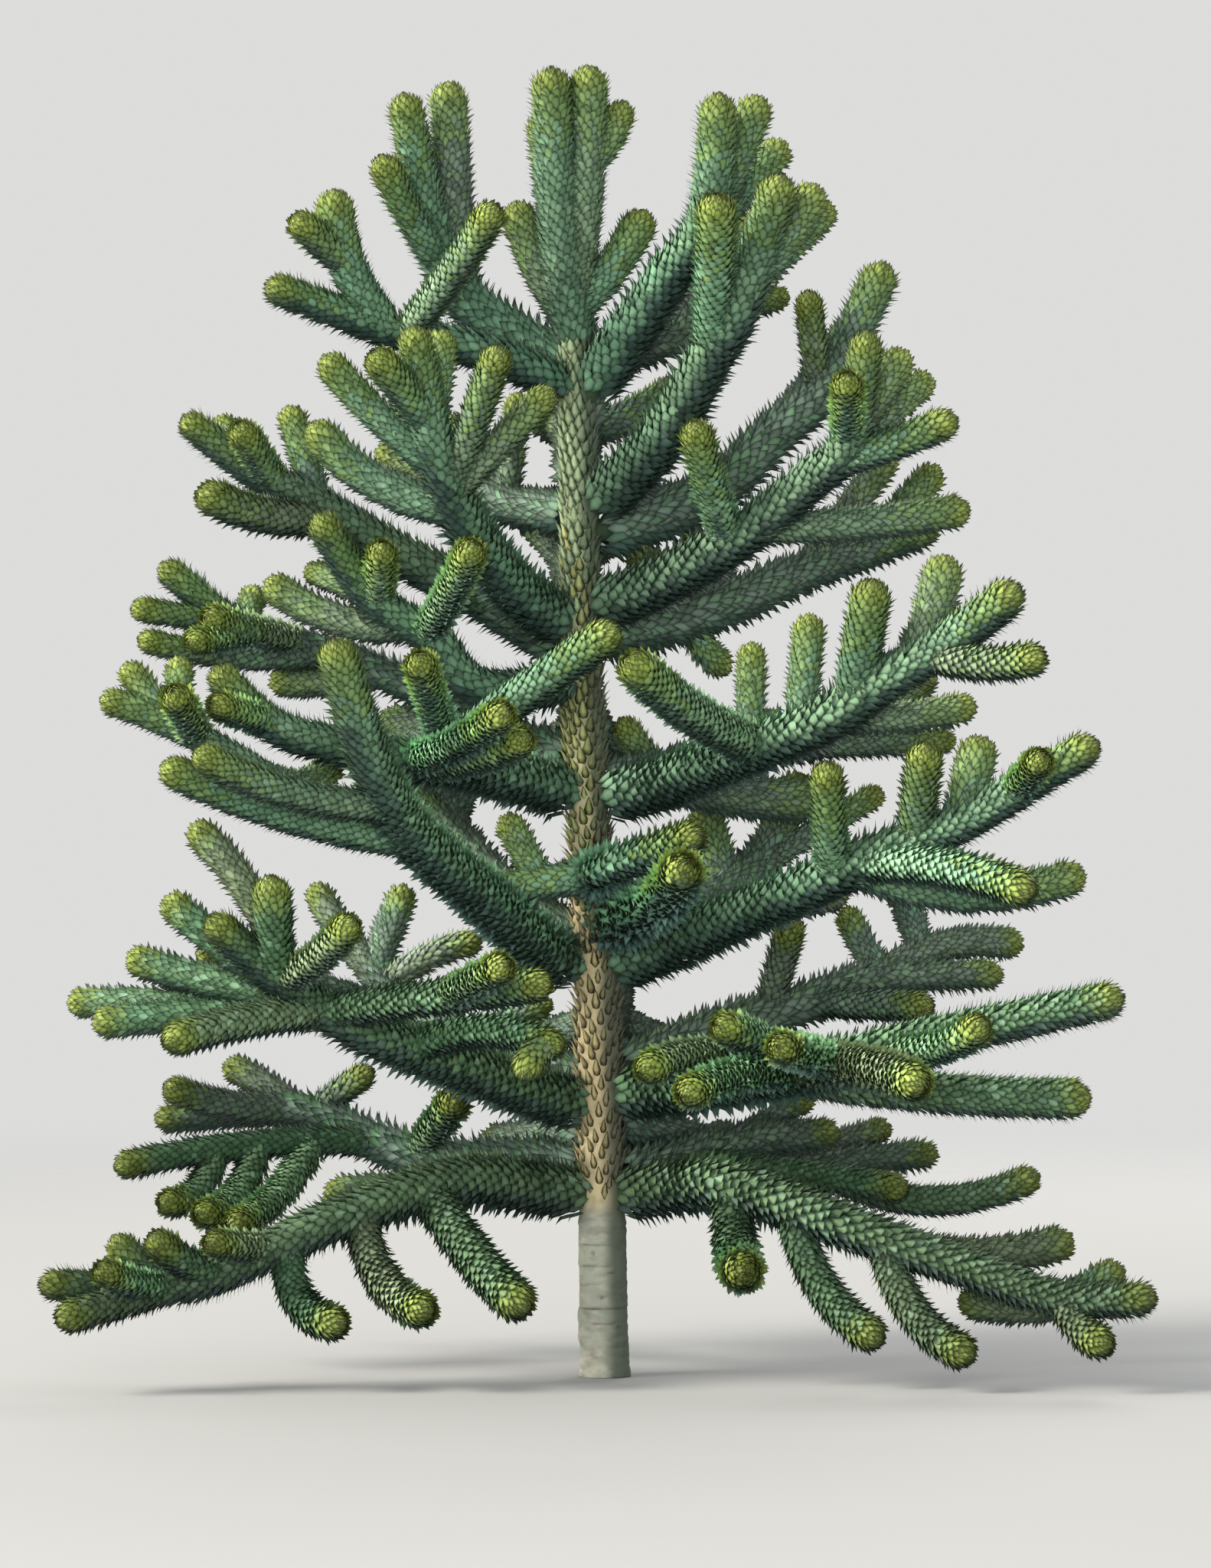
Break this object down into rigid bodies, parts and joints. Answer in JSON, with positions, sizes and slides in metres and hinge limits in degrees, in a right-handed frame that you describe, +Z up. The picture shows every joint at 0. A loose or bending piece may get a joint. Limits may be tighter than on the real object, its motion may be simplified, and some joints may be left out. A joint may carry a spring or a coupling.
{
  "type": "monkey puzzle tree",
  "caption": "Young monkey puzzle tree with a scaly upright trunk, tiered spreading boughs and thick shoots clothed in sharp overlapping leaves.",
  "frame": {"origin": "middle of the flat cut under the trunk, at ground level", "axes": "+Z up along the trunk, +X to the right as the pictured drawing shows the tree, +Y away from its viewer"},
  "size_m": [2.3086, 1.68, 2.7989],
  "materials": {
    "bark": "grey-tan ringed bark below, tan old scale leaves above",
    "bough_leaves": "dark green overlapping scale leaves",
    "shoot_leaves": "mid green overlapping scale leaves",
    "crown_leaves": "yellow-green overlapping scale leaves"
  },
  "bodies": {
    "root": {"bough_fifth_left_front": "bough_leaves", "bough_fifth_right_back": "bough_leaves", "bough_fifth_right_front": "bough_leaves", "bough_fourth_left_front": "bough_leaves", "bough_fourth_right_front": "bough_leaves", "bough_low_left_back": "bough_leaves", "bough_low_left_front": "bough_leaves", "bough_low_right_back": "bough_leaves", "bough_low_right_front": "bough_leaves", "bough_second_left_front": "bough_leaves", "bough_second_right_back": "bough_leaves", "bough_second_right_front": "bough_leaves", "bough_sixth_left_front": "bough_leaves", "bough_sixth_right_back": "bough_leaves", "bough_sixth_right_front": "bough_leaves", "bough_third_left_front": "bough_leaves", "bough_third_right_front": "bough_leaves", "bough_top_left_back": "bough_leaves", "bough_top_right_front": "bough_leaves", "foliage_fifth_back": "shoot_leaves", "foliage_fifth_left_front": "shoot_leaves", "foliage_fifth_right_back": "shoot_leaves", "foliage_fifth_right_front": "shoot_leaves", "foliage_fourth_back": "shoot_leaves", "foliage_fourth_left_back": "shoot_leaves", "foliage_fourth_left_front": "shoot_leaves", "foliage_fourth_left_middle": "shoot_leaves", "foliage_fourth_right_back": "shoot_leaves", "foliage_fourth_right_front": "shoot_leaves", "foliage_leader": "crown_leaves", "foliage_low_back": "shoot_leaves", "foliage_low_left_back": "shoot_leaves", "foliage_low_left_far": "shoot_leaves", "foliage_low_left_front": "shoot_leaves", "foliage_low_right_back": "shoot_leaves", "foliage_low_right_far": "shoot_leaves", "foliage_low_right_front": "shoot_leaves", "foliage_second_back": "shoot_leaves", "foliage_second_left_back": "shoot_leaves", "foliage_second_left_front": "shoot_leaves", "foliage_second_right_back": "shoot_leaves", "foliage_second_right_front": "shoot_leaves", "foliage_sixth_back": "shoot_leaves", "foliage_sixth_left_back": "shoot_leaves", "foliage_sixth_left_front": "shoot_leaves", "foliage_sixth_right_back": "shoot_leaves", "foliage_sixth_right_front": "shoot_leaves", "foliage_third_back": "shoot_leaves", "foliage_third_front_left": "shoot_leaves", "foliage_third_front_right": "shoot_leaves", "foliage_third_left_back": "shoot_leaves", "foliage_third_left_front": "shoot_leaves", "foliage_third_right_back": "shoot_leaves", "foliage_third_right_front": "shoot_leaves", "foliage_top_back": "crown_leaves", "foliage_top_left_back": "crown_leaves", "foliage_top_left_front": "crown_leaves", "foliage_top_right_back": "crown_leaves", "foliage_top_right_front": "crown_leaves", "trunk": "bark"}
  },
  "joints": []
}
